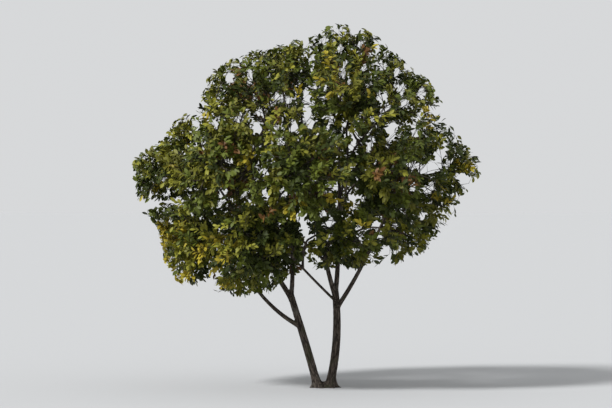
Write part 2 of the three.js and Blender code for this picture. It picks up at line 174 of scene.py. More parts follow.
# Small gaps come where waves across the front view pile up, and more of them come high up and to the right
specks = {
    "count": 8, "pitches": (11.0, 32.0), "seed": 5,  # radians a metre
    # how high they have to pile up at two heights, and how that changes to the right and by chance
    "heights": (2.1, 3.5), "levels": (1.85, 1.35), "rightward": 0.14, "stray": 0.4,
}

# The crown's lower edge from the front: places across and heights
hem = np.array([
    (-2.75, 2.65), (-2.3, 2.23), (-2.15, 1.6), (-2.0, 1.4), (-1.45, 1.29), (-0.85, 1.21), (-0.5, 1.5),
    (-0.2, 1.6), (0.8, 1.62), (1.3, 1.8), (1.6, 2.0), (1.85, 2.4), (2.25, 2.85),
])


# The crown's reach from its middle along some ways, for an outline from the front
def crownReach(ways, outline):
    outline = np.array(outline)
    steps = np.arctan2(ways[..., 2], ways[..., 0]) / fullTurn * len(outline) % len(outline)
    before = np.floor(steps).astype(int) % len(outline)
    share = steps % 1
    front = mix(outline[before], outline[(before + 1) % len(outline)], share * share * (3 - 2 * share))
    aside = ways[..., 1] ** 2
    return 1 / np.sqrt((1 - aside) / front ** 2 + aside / crown["depthReach"] ** 2)


def makeLobes():
    lobes = []
    following = seededNumbers(crown["seed"])
    for ring, rise, first, count in crown["rings"]:
        for i in range(count):
            bearing = math.radians(first + 360 * i / count + strayed(following, crown["bearingStray"]))
            lift = math.radians(rise + strayed(following, crown["riseStray"]))
            flat = math.cos(lift)
            way = np.array((flat * math.cos(bearing), flat * math.sin(bearing), math.sin(lift)))
            reach = crownReach(way, crown["frontReach"]) * mix(*crown["reachShares"], following())
            size = reach * crown["lobeShare"]
            lobe = SimpleNamespace(name=f"{ring}_{i + 1}", order=len(lobes), way=way, size=size)
            lobe.middle = crownMiddle + way * (reach - size)
            lobe.sprig = crown["sprigs"].get(lobe.name, 0.0)
            lobe.bough = lobe.stem = None
            lobes.append(lobe)
    return lobes


lobes = makeLobes()
lobeNamed = {lobe.name: lobe for lobe in lobes}
lobeMiddles = np.array([lobe.middle for lobe in lobes])
lobeSizes = np.array([lobe.size for lobe in lobes])


# How far points are inside a lobe's own space: its ball, enlarged by an easing, short of its parting planes
def roomAt(points, lobe, easing=0.0):
    order = lobe.order
    powers = ((points[:, None] - lobeMiddles[None]) ** 2).sum(-1) - lobeSizes ** 2
    spacing = sizesOf(lobeMiddles - lobe.middle)
    spacing[order] = 1
    planes = (powers - powers[:, order:order + 1]) / (2 * spacing)
    planes[:, order] = np.inf
    ball = lobe.size + easing - sizesOf(points - lobe.middle)
    return np.minimum(ball, planes.min(1) - crown["apart"])


# The same for the finest twigs and the leaves, which also keep within the crown's closer outline
def fineRoom(points, lobe, easing):
    offsets = points - crownMiddle
    reach = crownReach(unit(offsets), crown["outline"])
    return np.minimum(roomAt(points, lobe, easing), reach - sizesOf(offsets))


def makeSpeckWaves():
    numbers = np.random.default_rng(specks["seed"])
    turns = numbers.uniform(0, fullTurn, specks["count"])
    pitches = numbers.uniform(*specks["pitches"], specks["count"])
    waves = np.array((np.cos(turns), np.sin(turns))) * pitches
    return waves, numbers.uniform(0, fullTurn, specks["count"])


speckWaves, speckTurns = makeSpeckWaves()


# Whether places across and up, as seen from the front, are in a small gap, for strays from -1 to 1
def inSpeck(places, strays):
    piled = np.cos(places @ speckWaves + speckTurns).sum(1) / math.sqrt(specks["count"] / 2)
    levels = np.interp(places[:, 1], specks["heights"], specks["levels"])
    levels = levels - places[:, 0] * specks["rightward"]
    return piled > levels + strays * specks["stray"]


def hemAt(across):
    return np.interp(across, *hem.T)


# Whether such places are in a sky gap or below the hem, with the gaps smaller and the hem lower by an easing
def showsSky(places, easing=0.0):
    offsets = places[:, None] - skyGaps[None, :, :2]
    turns = np.arctan2(offsets[..., 1], offsets[..., 0]) + np.arange(len(skyGaps)) * goldenTurn
    reach = skyGaps[:, 2] * (1 + sum(share * np.sin(count * turns + turn) for count, share, turn in gapWaves))
    inGap = (sizesOf(offsets) < reach - np.reshape(easing, (-1, 1))).any(1)
    return inGap | (places[:, 1] < hemAt(places[:, 0]) - easing)


def runInLobe(start, way, lobe, most):
    runs = np.arange(math.ceil(most / crown["stride"]) + 2) * crown["stride"]
    stopped = (roomAt(start + runs[:, None] * way, lobe) <= 0) | (runs >= most)
    return max(0.0, runs[np.argmax(stopped)] - crown["stride"])


# The limbs: two stems, the boughs that show below the leaves and a side bough to each other lobe

stems = {
    "flare": 0.034, "flareShare": 0.2, "crowding": 1.4,  # they widen towards the ground
    "steps": 7, "leavingStep": 0.01,  # sections, and how closely the place that a bough leaves is found
    # foot, bend and tip, then the radius at the foot and at the tip
    "left_stem": ((-0.066, -0.008, -0.06), (-0.262, -0.06, 0.64), (-0.452, -0.12, 1.25), 0.06, 0.045),
    "right_stem": ((0.058, 0.01, -0.06), (0.222, 0.06, 0.66), (0.15, 0.13, 1.295), 0.064, 0.047),
}

# The mass that each main bough feeds, the stem it leaves and how high, its bend and its radius
mainBoughs = (
    ("low_4", "left_stem", 0.85, (-0.9, -0.06, 1.13), 0.033),
    ("middle_5", "left_stem", 1.205, (-0.77, 0.08, 1.72), 0.038),
    ("top_2", "left_stem", 1.25, (-0.395, 0.06, 1.75), 0.034),
    ("middle_1", "right_stem", 1.085, (0.56, -0.06, 1.66), 0.034),
    ("top_3", "right_stem", 1.225, (-0.03, -0.17, 1.76), 0.036),
    ("top_1", "right_stem", 1.295, (0.225, 0.06, 1.8), 0.037),
    ("low_5", "right_stem", 1.18, (-0.2, -0.17, 1.52), 0.02),
)

sideBough = {
    "share": 0.7, "radii": (0.019, 0.028), "tipRadius": 0.016, "steps": 4,  # share of its parent's radius
    "places": (0.3, 0.86, 0.04),  # it may leave a limb from the first share to the second, by such steps
    "lowest": 1.0, "apart": 0.13, "clear": 0.014, "leastFar": 0.9,
    "along": (0.15, 0.96), "leastWayOn": 0.5,  # cosines of how far it turns from its parent, and in itself
    "bendAlong": 0.22, "bendAside": 0.28, "turnCost": 0.7, "riseGain": 0.2,
}

massStem = {
    "tipRadius": 0.012, "steps": 3, "tries": 30, "turn": 4, "shortest": 0.8, "bend": 0.4, "leafRoom": 0.286,
    "joinGap": 0.0003, "radii": (0.0155, 0.005), "sides": 8,  # the last two are for its rod
}


def makeLimb(name, curve, radius, tipRadius, steps, flare=0.0, crowding=1.0):
    shares = (np.arange(steps + 1) / steps) ** crowding
    line = pointOn(curve, shares)
    limb = SimpleNamespace(name=name, curve=curve, radius=radius, tipRadius=tipRadius, flare=flare)
    limb.shares, limb.line, limb.leaving = shares, line, []
    limb.length, limb.before = lengthOf(curve), 0.0
    limb.side = sideOf(unit(curve[2] - curve[0]))
    limb.parts = (line[:-1], np.diff(line, axis=0), radiusAt(limb, shares[:-1]))
    return limb


def radiusAt(limb, share):
    flare = limb.flare * np.maximum(0, 1 - np.asarray(share) / stems["flareShare"]) ** 2
    return mix(limb.radius, limb.tipRadius, share) + flare


def axisPoint(limb, share):
    return pointsAt(share, limb.line, limb.shares)


# The clear distance from points to the nearest of some limbs
def limbClearance(points, limbs):
    starts, ways, radii = (np.concatenate([limb.parts[i] for limb in limbs]) for i in range(3))
    offsets = points[:, None] - starts
    shares = np.clip((offsets * ways).sum(-1) / (ways ** 2).sum(-1), 0, 1)
    return (sizesOf(offsets - shares[..., None] * ways) - radii).min(1)


def isClear(curve, limbs, gap):
    points = pointOn(curve, np.linspace(0, 1, math.ceil(lengthOf(curve) / crown["stride"]) + 1))
    return (limbClearance(points, limbs) > gap).all()


def boughCurve(start, bendPoint, lobe):
    back = unit(bendPoint - lobe.middle)
    run = runInLobe(lobe.middle, back, lobe, lobe.size)
    depth = min(lobe.size * crown["entry"], run - 2 * crown["apart"])
    return bend(start, bendPoint, lobe.middle + back * depth)


def giveBough(lobe, curve, radius, steps):
    lobe.bough = makeLimb(f"bough_{lobe.name}", curve, radius, sideBough["tipRadius"], steps)
    return lobe.bough


# A mass's stem goes on from its bough's tip, by the first clear way that is found near the lobe's own
def makeMassStem(lobe, boughWay, others):
    along = wayOn(boughWay, 1.0)
    start = boughWay[2] + along * massStem["joinGap"]
    radius = sideBough["tipRadius"]
    for attempt in range(massStem["tries"]):
        outward = turned(lobe.way, math.radians(massStem["turn"] * attempt), attempt * goldenTurn)
        end = lobe.middle + outward * (lobe.size - massStem["leafRoom"] + lobe.sprig)
        far = norm(end - start)
        curve = bend(start, start + along * far * massStem["bend"], end)
        inside = (roomAt(pointOn(curve, testShares[2:]), lobe, lobe.sprig) > radius).all()
        if far <= lobe.size * massStem["shortest"] or not inside:
            continue
        if isClear(curve, others, radius + twigs["clear"]):
            return makeLimb(f"stem_{lobe.name}", curve, radius, massStem["tipRadius"], massStem["steps"])
    return None


# A side bough leaves the limb from which it has the shortest, straightest clear way to its lobe
def makeSideBough(lobe, limbs):
    taken = limbs + [one.stem for one in lobes if one.stem]
    leastStraight, mostStraight = sideBough["along"]
    ways = []
    for parent in limbs:
        for share in np.arange(*sideBough["places"]):
            start, along = axisPoint(parent, share), wayOn(parent.curve, share)
            toLobe = lobe.middle - start
            far = norm(toLobe)
            straight = along @ toLobe / far
            nearest = min((abs(other - share) for other in parent.leaving), default=math.inf)
            crowded = nearest * parent.length < sideBough["apart"]
            tooLow = parent.name in stems and start[2] < sideBough["lowest"]
            badAngle = not leastStraight <= straight <= mostStraight
            if badAngle or crowded or tooLow or far < lobe.size * sideBough["leastFar"]:
                continue
            cost = far * (1 + sideBough["turnCost"] * (1 - straight)) - toLobe[2] * sideBough["riseGain"]
            bendPoint = start + along * far * sideBough["bendAlong"] + toLobe * sideBough["bendAside"]
            ways.append((cost, parent, share, boughCurve(start, bendPoint, lobe)))
    for _, parent, share, curve in sorted(ways, key=lambda way: way[0]):
        others = [limb for limb in taken if limb is not parent]
        radius = np.clip(radiusAt(parent, share) * sideBough["share"], *sideBough["radii"])
        wayOnward = wayOn(curve, 0.0) @ wayOn(curve, 1.0)
        if wayOnward < sideBough["leastWayOn"] or not isClear(curve, others, radius + sideBough["clear"]):
            continue
        lobe.stem = makeMassStem(lobe, curve, taken)
        if lobe.stem:
            parent.leaving.append(share)
            limbs.append(giveBough(lobe, curve, radius, sideBough["steps"]))
            return


def makeLimbs():
    limbs = []
    for name in ("left_stem", "right_stem"):
        *points, radius, tipRadius = stems[name]
        swell = stems["flare"], stems["crowding"]
        limbs.append(makeLimb(name, bend(*points), radius, tipRadius, stems["steps"], *swell))
    stemNamed = {limb.name: limb for limb in limbs}
    for feeds, leaves, height, bendPoint, radius in mainBoughs:
        parent, lobe = stemNamed[leaves], lobeNamed[feeds]
        share = 1.0
        while share > 0 and pointOn(parent.curve, share)[2] > height:
            share -= stems["leavingStep"]
        curve = boughCurve(axisPoint(parent, share), np.array(bendPoint), lobe)
        bough = giveBough(lobe, curve, radius, stems["steps"])
        bough.side, bough.before = parent.side, parent.length * share  # its bark goes on from its parent's
        parent.leaving.append(share)
        limbs.append(bough)
    for lobe in (one for one in lobes if one.bough):
        others = [limb for limb in limbs if limb is not lobe.bough]
        lobe.stem = makeMassStem(lobe, lobe.bough.curve, others)
    for lobe in sorted((one for one in lobes if not one.bough), key=lambda one: one.middle[2]):
        makeSideBough(lobe, limbs)
    return limbs


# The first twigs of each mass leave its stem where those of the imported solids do

twigs = {
    "count": 8, "tries": 5, "shares": (0.1, 0.92), "shortest": 0.09, "longest": 0.7, "lift": 0.1,
    "spreads": (88, 40), "spreadStray": 8, "turnStray": 14, "radius": 0.011, "clear": 0.012,
    "leafLength": 0.52, "leafWidth": 0.36,  # of the large leaves of the solids
}


def makeTwigs(lobe, limbs):
    following = seededNumbers(crown["massSeed"] + lobe.order)
    stem = lobe.stem
    made = []
    for i in range(twigs["count"]):
        share = mix(*twigs["shares"], (i + 0.5) / twigs["count"])
        start = axisPoint(stem, share)
        along = wayOn(stem.curve, share)
        spread = mix(*twigs["spreads"], share) + strayed(following, twigs["spreadStray"])
        turn = i * goldenTurn + math.radians(strayed(following, twigs["turnStray"]))
        for attempt in range(twigs["tries"]):
            way = turned(along, math.radians(spread), turn + attempt * 2 * fullTurn / twigs["tries"])
            run = runInLobe(start, way, lobe, twigs["longest"] + twigs["leafLength"])
            length = min(run - massStem["leafRoom"], twigs["longest"])
            if length < twigs["shortest"]:
                continue
            end = start + way * length + np.array((0, 0, length * twigs["lift"]))
            points = start + testShares[1:, None] * (end - start)
            away = sizesOf(points[:, None, (0, 2)] - sharedGaps[None, :, :2])
            beside = any(norm(other - end) < twigs["leafWidth"] for _, other in made)
            inside = (roomAt(points, lobe) > twigs["radius"]).all()
            outOfGaps = (away > sharedGaps[:, 2] + twigs["radius"]).all()
            aboveHem = (points[:, 2] > hemAt(points[:, 0])).all()
            clear = (limbClearance(points, limbs) > twigs["radius"] + twigs["clear"]).all()
            if not beside and inside and outOfGaps and aboveHem and clear:
                made.append((start, end))
                break
    return made


limbs = makeLimbs()
for lobe in lobes:
    lobe.twigs = makeTwigs(lobe, limbs)
report(f"{len(limbs)} limbs and {sum(len(lobe.twigs) for lobe in lobes)} first twigs worked out")


# Shader nodes, where an input is a value or another node's output
def addNode(tree, kind, inputs=(), **settings):
    node = tree.nodes.new(kind)
    for key, value in settings.items():
        setattr(node, key, value)
    for key, value in dict(inputs).items():
        if isinstance(value, bpy.types.NodeSocket):
            tree.links.new(value, node.inputs[key])
        else:
            node.inputs[key].default_value = value
    return node


def addRamp(tree, factor, stops):
    ramp = addNode(tree, "ShaderNodeValToRGB", {"Fac": factor})
    for element, (place, colour) in zip(ramp.color_ramp.elements, stops):
        element.position = place
        element.color = (*colour, 1)
    return ramp.outputs["Color"]


# A value taken from one range to another, and held there
def addRange(tree, value, low, high, toLow=0.0, toHigh=1.0):
    inputs = {"Value": value, "From Min": low, "From Max": high, "To Min": toLow, "To Max": toHigh}
    return addNode(tree, "ShaderNodeMapRange", inputs).outputs["Result"]


def addMath(tree, operation, *values):
    return addNode(tree, "ShaderNodeMath", enumerate(values), operation=operation).outputs[0]


def addColour(tree, factor, first, colour):
    inputs = {"Factor": factor, 6: first, 7: (*colour, 1)}
    return addNode(tree, "ShaderNodeMix", inputs, data_type="RGBA").outputs[2]


def addNoise(tree, place, pitch, detail, roughness=0.5):
    inputs = {"Vector": place, "Scale": pitch, "Detail": detail, "Roughness": roughness}
    return addNode(tree, "ShaderNodeTexNoise", inputs).outputs


def addAttribute(tree, name):
    return addNode(tree, "ShaderNodeAttribute", attribute_name=name).outputs["Vector"]


def objectPlace(tree):
    return addNode(tree, "ShaderNodeTexCoord").outputs["Object"]


def newMaterial(name, roughness, specular=0.22):
    material = bpy.data.materials.new(name)
    material.use_nodes = True
    shader = material.node_tree.nodes["Principled BSDF"]
    shader.inputs["Roughness"].default_value = roughness
    shader.inputs["Specular IOR Level"].default_value = specular
    return material, material.node_tree, shader


def finishShader(tree, shader, colour, height, strength, depth):
    bump = addNode(tree, "ShaderNodeBump", {"Height": height, "Strength": strength, "Distance": depth})
    tree.links.new(colour, shader.inputs["Base Color"])
    tree.links.new(bump.outputs["Normal"], shader.inputs["Normal"])


# Bark: grey-brown ridges between dark furrows that run along each limb. The furrows are partly the bark's own
# darker colour and partly painted shade in the cracks

bark = {
    # the furrow colour is the cracks' own dark colour with painted shade in it
    "shadedFurrow": (0.012, 0.009, 0.007), "ridge": (0.14, 0.112, 0.09), "furrowHeight": 0.04, "ridgeHeight": 0.9,
    "moss": (0.045, 0.052, 0.022), "lichen": (0.15, 0.145, 0.125),
    "roughness": 0.92, "bump": 0.6, "bumpDepth": 0.004,
    "cracks": ((34, 0.2), (82, 0.16)), "stray": 0.03,  # how many to a metre, their width and their stray
    # noises: how many waves to a metre, detail and roughness
    "strayNoise": (30, 3), "grainNoise": (150, 5, 0.6), "patchNoise": (7, 4),
    # ranges: two levels, and what becomes of them
    "fineCracks": (0.0, 1.0, 0.5, 1.0), "grain": (0.32, 0.68, 0.25, 1.0),
    "mossy": (0.56, 0.72, 0.0, 0.5), "pale": (0.44, 0.3, 0.0, 0.4),
}


def makeBark():
    material, tree, shader = newMaterial("furrowed_bark", bark["roughness"])
    place = addAttribute(tree, "barkPlace")
    stray = {0: addNoise(tree, place, *bark["strayNoise"])["Color"], 1: (bark["stray"],) * 3, 2: place}
    strayedPlace = addNode(tree, "ShaderNodeVectorMath", stray, operation="MULTIPLY_ADD").outputs[0]
    heights = []
    for pitch, width in bark["cracks"]:
        inputs = {"Vector": strayedPlace, "Scale": pitch}
        cracks = addNode(tree, "ShaderNodeTexVoronoi", inputs, feature="DISTANCE_TO_EDGE")
        heights.append(addRange(tree, cracks.outputs["Distance"], 0.0, width))
    plates = addMath(tree, "MULTIPLY", heights[0], addRange(tree, heights[1], *bark["fineCracks"]))
    grain = addNoise(tree, place, *bark["grainNoise"])["Fac"]
    height = addMath(tree, "MULTIPLY", plates, addRange(tree, grain, *bark["grain"]))
    # The ramp darkens the low parts of the relief, so the cracks carry painted shade as well as their own
    # colour
    stops = (bark["furrowHeight"], bark["shadedFurrow"]), (bark["ridgeHeight"], bark["ridge"])
    colour = addRamp(tree, height, stops)
    patches = addNoise(tree, objectPlace(tree), *bark["patchNoise"])["Fac"]
    colour = addColour(tree, addRange(tree, patches, *bark["mossy"]), colour, bark["moss"])
    colour = addColour(tree, addRange(tree, patches, *bark["pale"]), colour, bark["lichen"])
    finishShader(tree, shader, colour, height, bark["bump"], bark["bumpDepth"])
    return material


# Wood: one skin over the foot, both stems and the main boughs, and one over the side boughs

wood = {
    "sides": 20, "spacing": 0.035, "fewestRings": 4, "voxel": 0.0067, "sideVoxel": 0.0064,
    "smoothing": 4, "smoothShare": 0.5,
    "collar": 0.32, "collarLength": 4.5,  # a bough widens where it leaves its parent, over this many radii
    "furrowDepth": 0.062, "furrowPitch": 44.0, "furrowSharpness": 3.2,  # a share of the radius, waves a metre
    "unevenness": 0.07, "unevenPitch": 9.0, "thickest": 0.06,
    "stretch": 0.16, "sampleSpacing": 0.012, "rodShift": 0.37,  # of the bark's pattern along the limbs
}

foot = {
    "heights": (-0.008, 0.084),  # from just below the ground to where the stems part
    "lengths": (0.112, 0.19), "widths": (0.058, 0.135),  # half of each, at the top and at the ground
    "rootCount": 7, "rootSwell": 0.22, "rings": 12, "sides": 84, "dome": 0.9,
    "rootShare": 0.22, "rootIn": 0.012, "rootBend": (0.125, 0.095, 0), "rootLift": 0.012,
    "rootEnd": (0.24, 0.175, 0), "rootRadii": (0.035, 0.015), "rootSteps": 6,
    "blend": (0.45, 0.02, 24),  # heights from and to, and how many times what lies below is smoothed
}


# A closed rod of unit radius from z 0 to 1, extruded from ring to ring
def addRod(bm, sides, rings):
    verts = list(bmesh.ops.create_circle(bm, cap_ends=True, segments=sides, radius=1.0)["verts"])
    face = verts[0].link_faces[0]
    for _ in range(rings):
        grown = bmesh.ops.extrude_face_region(bm, geom=[face])["geom"]
        ring = [part for part in grown if isinstance(part, bmesh.types.BMVert)]
        face = next(part for part in grown if isinstance(part, bmesh.types.BMFace))
        bmesh.ops.translate(bm, vec=(0, 0, 1 / rings), verts=ring)
        verts += ring
    return verts


def limbFrames(limb, shares):
    along = wayOn(limb.curve, shares)
    u = unit(np.cross(along, limb.side))
    return pointOn(limb.curve, shares), along, u, np.cross(u, along)


def addLimb(bm, limb):
    verts = addRod(bm, wood["sides"], max(wood["fewestRings"], math.ceil(limb.length / wood["spacing"])))
    places = np.array([vert.co for vert in verts])
    shares = np.clip(places[:, 2], 0, 1)
    centres, _, u, v = limbFrames(limb, shares)
    radii = radiusAt(limb, shares)
    if limb.name.startswith("bough"):
        near = np.maximum(0, 1 - shares * limb.length / (wood["collarLength"] * limb.radius))
        radii = radii * (1 + wood["collar"] * near ** 2)
    places = centres + radii[:, None] * (places[:, :1] * u + places[:, 1:2] * v)
    for vert, place in zip(verts, places):
        vert.co = place


# The foot is a domed mound that swells into low roots towards the ground
def addFoot(bm):
    for vert in addRod(bm, foot["sides"], foot["rings"]):
        turn = math.atan2(vert.co.y, vert.co.x)
        spread = (1 - vert.co.z) ** 2
        dome = math.sqrt(1 - foot["dome"] * min(1, vert.co.z) ** 3)
        swell = dome * (1 + foot["rootSwell"] * spread * math.cos(foot["rootCount"] * turn))
        vert.co.x *= mix(*foot["lengths"], spread) * swell
        vert.co.y *= mix(*foot["widths"], spread) * swell
        vert.co.z = mix(*foot["heights"], vert.co.z)


# Low roots run down the stems' feet and out into the ground
def makeRoots():
    roots = []
    for i in range(foot["rootCount"]):
        turn = fullTurn * i / foot["rootCount"]
        aside = np.array((math.cos(turn), math.sin(turn), 0))
        stem = limbs[0] if aside[0] < 0 else limbs[1]
        start = axisPoint(stem, foot["rootShare"]) + aside * foot["rootIn"]
        middle = aside * foot["rootBend"] + (0, 0, foot["rootLift"])
        end = aside * foot["rootEnd"] - (0, 0, foot["rootRadii"][1])
        curve = bend(start, middle, end)
        roots.append(makeLimb(f"root_{i + 1}", curve, *foot["rootRadii"], foot["rootSteps"]))
    return roots


def meshFrom(bm, name):
    mesh = bpy.data.meshes.new(name)
    bm.to_mesh(mesh)
    bm.free()
    return mesh


def addObject(name, data):
    made = bpy.data.objects.new(name, data)
    scene.collection.objects.link(made)
    return made


def finishPiece(mesh, material, nodes=()):
    mesh.materials.append(material)
    piece = addObject(mesh.name, mesh)
    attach(piece, "root")
    if nodes:
        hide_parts(*nodes)


def smoothVerts(bm, verts):
    axes = {"use_axis_x": True, "use_axis_y": True, "use_axis_z": True}
    bmesh.ops.smooth_vert(bm, verts=verts, factor=wood["smoothShare"], **axes)


# One even skin round overlapping rods, smoothed
def skinOver(bm, voxel):
    bmesh.ops.recalc_face_normals(bm, faces=bm.faces)
    mesh = meshFrom(bm, "rods")
    rough = addObject("rods", mesh)
    skin = rough.modifiers.new("skin", "REMESH")
    skin.mode = "VOXEL"
    skin.voxel_size = voxel
    smooth = bmesh.new()
    smooth.from_object(rough, bpy.context.evaluated_depsgraph_get())
    bpy.data.objects.remove(rough)
    bpy.data.meshes.remove(mesh)
    for _ in range(wood["smoothing"]):
        smoothVerts(smooth, smooth.verts)
    return smooth


# Where points would be if their limbs were straight, two ways across and one along, and the limbs' radii
def straightened(points, limbs):
    samples = []
    for limb in limbs:
        shares = np.linspace(0, 1, math.ceil(limb.length / wood["sampleSpacing"]) + 1)
        far = limb.before + shares * limb.length
        samples.append(np.column_stack((*limbFrames(limb, shares), far, radiusAt(limb, shares))))
    samples = np.concatenate(samples)
    tree = kdtree.KDTree(len(samples))
    for i, centre in enumerate(samples[:, :3]):
        tree.insert(centre, i)
    tree.balance()
    near = samples[[tree.find(point)[1] for point in points]]
    centres, along, u, v, far, radii = np.split(near, (3, 6, 9, 12, 13), axis=1)
    offsets = points - centres
    far = (far + dot(offsets, along)) * wood["stretch"]
    return np.column_stack((dot(offsets, u), dot(offsets, v), far)), radii[:, 0]


# Furrows run where a noise that is stretched along the limb crosses zero
def barkRelief(places, radii):
    pitch, uneven = wood["furrowPitch"], wood["unevenPitch"]
    furrows = np.array([abs(noise.noise(place * pitch)) for place in map(Vector, places)])
    swells = np.array([noise.noise(place * uneven) for place in map(Vector, places)])
    age = np.clip(radii / wood["thickest"], 0, 1)
    depth = -wood["furrowDepth"] * age * (1 - np.clip(furrows * wood["furrowSharpness"], 0, 1)) ** 2
    return radii * (depth + wood["unevenness"] * swells)


# The flat cut at ground level
def cutFlat(bm):
    whole = bm.verts[:] + bm.edges[:] + bm.faces[:]
    cut = bmesh.ops.bisect_plane(bm, geom=whole, plane_co=(0, 0, 0), plane_no=(0, 0, 1), clear_inner=True)
    bmesh.ops.holes_fill(bm, edges=[part for part in cut["geom_cut"] if isinstance(part, bmesh.types.BMEdge)])


def makeWood(name, members, voxel, withFoot=False):
    nodes = [limb.name for limb in members]
    bm = bmesh.new()
    for limb in members:
        addLimb(bm, limb)
    if withFoot:
        addFoot(bm)
        for root in makeRoots():
            addLimb(bm, root)
        nodes.append("root_flare")
    bm = skinOver(bm, voxel)
    if withFoot:
        for height in np.linspace(*foot["blend"]):
            smoothVerts(bm, [vert for vert in bm.verts if vert.co.z < height])
    bm.normal_update()
    points = np.array([vert.co for vert in bm.verts])
    normals = np.array([vert.normal for vert in bm.verts])
    places, radii = straightened(points, members)
    points = points + normals * barkRelief(places, radii)[:, None]
    placeLayer = bm.verts.layers.float_vector.new("barkPlace")
    for vert, point, place in zip(bm.verts, points, places):
        vert.co = point
        vert[placeLayer] = place
    if withFoot:
        cutFlat(bm)
    for face in bm.faces:
        face.smooth = True
    bmesh.ops.triangulate(bm, faces=[face for face in bm.faces if len(face.verts) > 4])
    mesh = meshFrom(bm, name)
    finishPiece(mesh, barkMaterial, nodes)
    report(f"{name}: {len(mesh.polygons)} faces")


barkMaterial = makeBark()
firstCount = 2 + len(mainBoughs)
makeWood("stems_and_main_boughs", limbs[:firstCount], wood["voxel"], withFoot=True)
makeWood("side_boughs", limbs[firstCount:], wood["sideVoxel"])


# Twigs: thin rods along many lines at once. Spreads are in degrees, and radii go from foot to tip

# The masses' stems and first twigs, carried on, and further first twigs in bare places
firstTwig = {
    "points": 7, "stemOnward": 0.2, "twigOnward": 0.3, "bow": 0.05, "tipRoom": 0.1, "skyMargin": 0.04,
    "joinTests": 200, "cutTests": 49,
    "moreTries": 40, "moreFrom": 0.2, "moreLength": 0.85, "moreApart": 0.36, "spread": (35, 85),
    "radii": (0.009, 0.003), "sides": 6,
}

# Sprays along them, evenly and one at the tip
spray = {
    "every": 0.11, "from": 0.14, "to": 0.97, "wayShare": 0.02, "points": 5, "bow": 0.05,
    "lengths": (0.42, 0.22), "stretch": (0.75, 1.15), "spread": (32, 68), "turn": (-0.4, 0.4),
    "outward": 0.22, "upward": 0.14, "margin": 0.04, "radii": (0.0042, 0.0018), "sides": 4,
}

# Shoots along a spray, at shares of its length, and fewer of them near the crown's middle
shoot = {
    "places": (0.26, 0.5, 0.72, 0.9, 1.0), "lengths": (0.1, 0.2), "spread": (30, 62), "bow": 0.04,
    "outward": 0.15, "upward": 0.1, "bareMiddle": 0.95, "bareShare": 0.45,
    "radii": (0.0024, 0.0011), "sides": 3, "seed": 12,
}

# All of them end in the open: how far beyond the ball and from limbs, and the shares of a length to try
openSpace = {"beyondBall": 0.13, "limbGap": 0.03, "shortenings": (1.0, 0.75, 0.55, 0.35)}

leaf = {
    "length": 0.088, "sizes": (0.8, 1.2), "width": 0.5, "count": 9, "from": 0.12, "fewest": 3,
    "spread": (40, 72), "narrowing": 0.6, "firstTurn": 6.28, "droop": 0.22,
    "outward": 0.55, "upward": 0.8, "flutter": 0.75, "flutterStray": 0.6,
    "fold": 0.2, "curl": 0.14, "footSlope": 1.15, "roundness": 0.75, "segments": (4, 2), "weld": 1e-4,
    "beyondBall": 0.17, "limbGap": 0.012, "gapStray": 0.035, "edgeStray": 0.07,
    "sprayTone": 0.65, "oddShare": 0.12,  # how much of a leaf's tone is its spray's; shoots of another tint
}


def templateOf(bm):
    bm.verts.index_update()
    points = np.array([vert.co for vert in bm.verts])
    faces = [[vert.index for vert in face.verts] for face in bm.faces]
    bm.free()
    return points, faces


# One mesh from many copies of a template, each with its own places for the template's points
def joinCopies(name, places, faces):
    count, size = places.shape[:2]
    corners = np.array([corner for face in faces for corner in face])
    corners = (corners + size * np.arange(count)[:, None]).ravel()
    sizes = np.tile([len(face) for face in faces], count)
    mesh = bpy.data.meshes.new(name)
    mesh.vertices.add(count * size)
    mesh.vertices.foreach_set("co", places.astype(np.float32).ravel())
    mesh.loops.add(len(corners))
    mesh.loops.foreach_set("vertex_index", corners.astype(np.int32))
    mesh.polygons.add(len(sizes))
    mesh.polygons.foreach_set("loop_start", (np.cumsum(sizes) - sizes).astype(np.int32))
    mesh.update(calc_edges=True)
    return mesh


def setPlaces(mesh, name, places):
    attribute = mesh.attributes.new(name, "FLOAT_VECTOR", "POINT")
    attribute.data.foreach_set("vector", places.astype(np.float32).ravel())


def makeRods(name, lines, kind):
    rings = lines.shape[1]
    bm = bmesh.new()
    addRod(bm, kind["sides"], rings - 1)
    bmesh.ops.recalc_face_normals(bm, faces=bm.faces)
    rod, faces = templateOf(bm)
    ring = np.rint(rod[:, 2] * (rings - 1)).astype(int)
    ways = unit(np.gradient(lines, axis=1))
    u = unit(np.cross(ways, sideOf(unit(lines[:, -1:] - lines[:, :1]))))
    v = np.cross(u, ways)
    around = rod[:, :1] * u[:, ring] + rod[:, 1:2] * v[:, ring]
    widths = mix(*kind["radii"], np.linspace(0, 1, rings))[ring][:, None]
    mesh = joinCopies(name, lines[:, ring] + widths * around, faces)
    lengths = sizesOf(lines[:, -1] - lines[:, 0])[:, None] * rod[:, 2]
    across = np.broadcast_to(rod[:, :2] * widths, (len(lines), len(rod), 2))
    places = np.concatenate((across, lengths[..., None] * wood["stretch"]), axis=2)
    setPlaces(mesh, "barkPlace", places + np.arange(len(lines))[:, None, None] * wood["rodShift"])
    mesh.shade_smooth()
    finishPiece(mesh, barkMaterial)
    report(f"{name}: {len(lines)} rods, {len(mesh.polygons)} faces")


# A line of points that bows aside between its ends
def bowedLine(start, end, aside, count):
    shares = np.linspace(0, 1, count)[:, None]
    return start + shares * (end - start) + np.sin(shares * math.pi) * aside


def twigLine(start, end, way, length, numbers):
    aside = turned(way, fullTurn / 4, numbers.uniform(0, fullTurn)) * firstTwig["bow"] * length
    return bowedLine(start, end, aside, firstTwig["points"])


def spreadsOf(kind, count, numbers):
    return np.radians(numbers.uniform(*kind["spread"], count))


def outwardFrom(points):
    return unit(points - crownMiddle)


# Ways drawn outwards and upwards
def drawnOut(ways, points, kind):
    return unit(ways + kind["outward"] * outwardFrom(points) + (0, 0, kind["upward"]))


